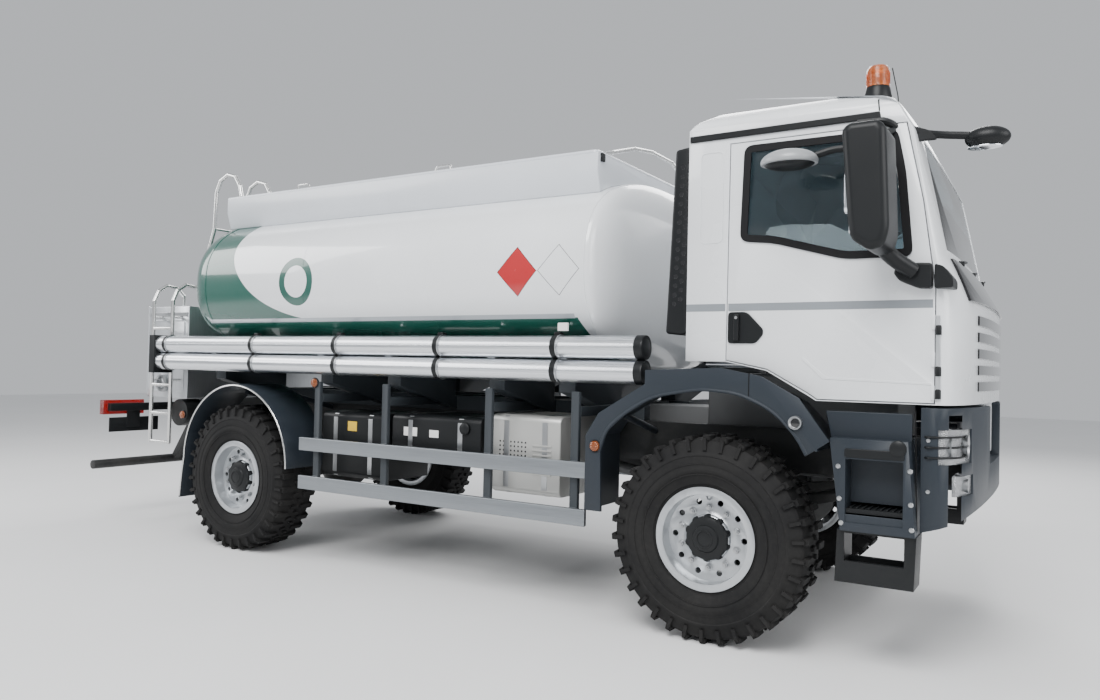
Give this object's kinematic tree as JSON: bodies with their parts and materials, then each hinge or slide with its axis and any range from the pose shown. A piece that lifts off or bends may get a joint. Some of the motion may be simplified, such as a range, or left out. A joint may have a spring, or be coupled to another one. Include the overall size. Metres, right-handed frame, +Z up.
{
  "type": "tanker truck",
  "caption": "All-terrain tanker truck with a tilting cab, an oval tank with walkway trough, side hose tubes, rear cabinet and ladders.",
  "frame": {"origin": "on the ground under the centre of the truck's bounding box", "axes": "+X towards the front of the truck, +Y to its left, +Z up"},
  "size_m": [7.3349, 3.09, 3.22],
  "materials": {
    "white_paint": "gloss",
    "tank_paint": "gloss",
    "green_paint": "gloss",
    "chassis_black": "satin",
    "anthracite_plastic": "satin",
    "black_plastic": "matte",
    "gloss_black": "gloss",
    "tyre_rubber": "matte",
    "wheel_silver": "satin",
    "anodised": "satin",
    "sheet_aluminium": "brushed",
    "stainless": "brushed",
    "engine_iron": "matte",
    "spring_steel": "satin",
    "glass_tint": "clear",
    "lamp_glass": "clear",
    "amber_plastic": "gloss",
    "seat_cloth": "woven",
    "dash_plastic": "matte",
    "dark_metal": "satin"
  },
  "bodies": {
    "chassis": {"frame_rails": "chassis_black", "axles": "chassis_black", "leaf_springs": "spring_steel", "engine": "engine_iron", "driveline": "engine_iron", "air_tanks": "dark_metal", "fuel_tanks": "sheet_aluminium", "silencer": "sheet_aluminium", "storage_boxes": "black_plastic", "side_guards": "anodised", "front_bumper": "anthracite_plastic", "lamps": "lamp_glass", "entry_steps": "anthracite_plastic", "fenders": "anthracite_plastic", "tank_vessel": "tank_paint", "tank_coaming": "white_paint", "tank_cradle": "green_paint", "hose_tubes": "anodised", "ladder": "stainless", "rear_cabinet": "sheet_aluminium", "underrun_bar": "chassis_black"},
    "cab": {"cab_shell": "white_paint", "front_panel": "gloss_black", "windscreen": "glass_tint", "dashboard": "dash_plastic", "steering_wheel": "black_plastic", "seats": "seat_cloth", "front_mirror": "black_plastic", "beacon": "amber_plastic", "air_intake": "black_plastic"},
    "right_door": {"door_right": "white_paint", "door_glass_right": "glass_tint", "mirror_right": "black_plastic"},
    "left_door": {"door_left": "white_paint", "door_glass_left": "glass_tint", "mirror_left": "black_plastic"},
    "rear_door": {"cabinet_door": "sheet_aluminium"},
    "manhole_cover": {"manhole_lid": "sheet_aluminium"},
    "right_knuckle": {"knuckle_right": "chassis_black"},
    "left_knuckle": {"knuckle_left": "chassis_black"},
    "wheel_front_right": {"tyre_front_right": "tyre_rubber", "rim_front_right": "wheel_silver"},
    "wheel_front_left": {"tyre_front_left": "tyre_rubber", "rim_front_left": "wheel_silver"},
    "wheel_rear_right": {"tyre_rear_right": "tyre_rubber", "rim_rear_right": "wheel_silver"},
    "wheel_rear_left": {"tyre_rear_left": "tyre_rubber", "rim_rear_left": "wheel_silver"}
  },
  "joints": [
    {"name": "cab_tilt", "type": "hinge", "parent": "chassis", "child": "cab", "pos_m": [3.465, 0, 1.07], "axis": [0, 1, 0], "range_deg": [0, 60]},
    {"name": "right_door_hinge", "type": "hinge", "parent": "cab", "child": "right_door", "pos_m": [3.355, -1.12, 1.9], "axis": [0, 0, 1], "range_deg": [0, 70]},
    {"name": "left_door_hinge", "type": "hinge", "parent": "cab", "child": "left_door", "pos_m": [3.355, 1.12, 1.9], "axis": [0, 0, -1], "range_deg": [0, 70]},
    {"name": "rear_door_hinge", "type": "hinge", "parent": "chassis", "child": "rear_door", "pos_m": [-3.2303, 0, 1.95], "axis": [0, 1, 0], "range_deg": [0, 100]},
    {"name": "manhole_hinge", "type": "hinge", "parent": "chassis", "child": "manhole_cover", "pos_m": [-0.475, 0, 2.8333], "axis": [0, -1, 0], "range_deg": [0, 110]},
    {"name": "right_steering", "type": "hinge", "parent": "chassis", "child": "right_knuckle", "pos_m": [2.23, -0.83, 0.565], "axis": [0, 0, 1], "range_deg": [-32, 32]},
    {"name": "left_steering", "type": "hinge", "parent": "chassis", "child": "left_knuckle", "pos_m": [2.23, 0.83, 0.565], "axis": [0, 0, 1], "range_deg": [-32, 32]},
    {"name": "wheel_front_right_spin", "type": "hinge", "parent": "right_knuckle", "child": "wheel_front_right", "pos_m": [2.23, -1.035, 0.565], "axis": [0, 1, 0], "continuous": true},
    {"name": "wheel_front_left_spin", "type": "hinge", "parent": "left_knuckle", "child": "wheel_front_left", "pos_m": [2.23, 1.035, 0.565], "axis": [0, 1, 0], "continuous": true},
    {"name": "wheel_rear_right_spin", "type": "hinge", "parent": "chassis", "child": "wheel_rear_right", "pos_m": [-1.67, -1.035, 0.565], "axis": [0, 1, 0], "continuous": true},
    {"name": "wheel_rear_left_spin", "type": "hinge", "parent": "chassis", "child": "wheel_rear_left", "pos_m": [-1.67, 1.035, 0.565], "axis": [0, 1, 0], "continuous": true}
  ],
  "couplings": [
    {"joint": "left_steering", "follows": "right_steering", "ratio": 1}
  ]
}
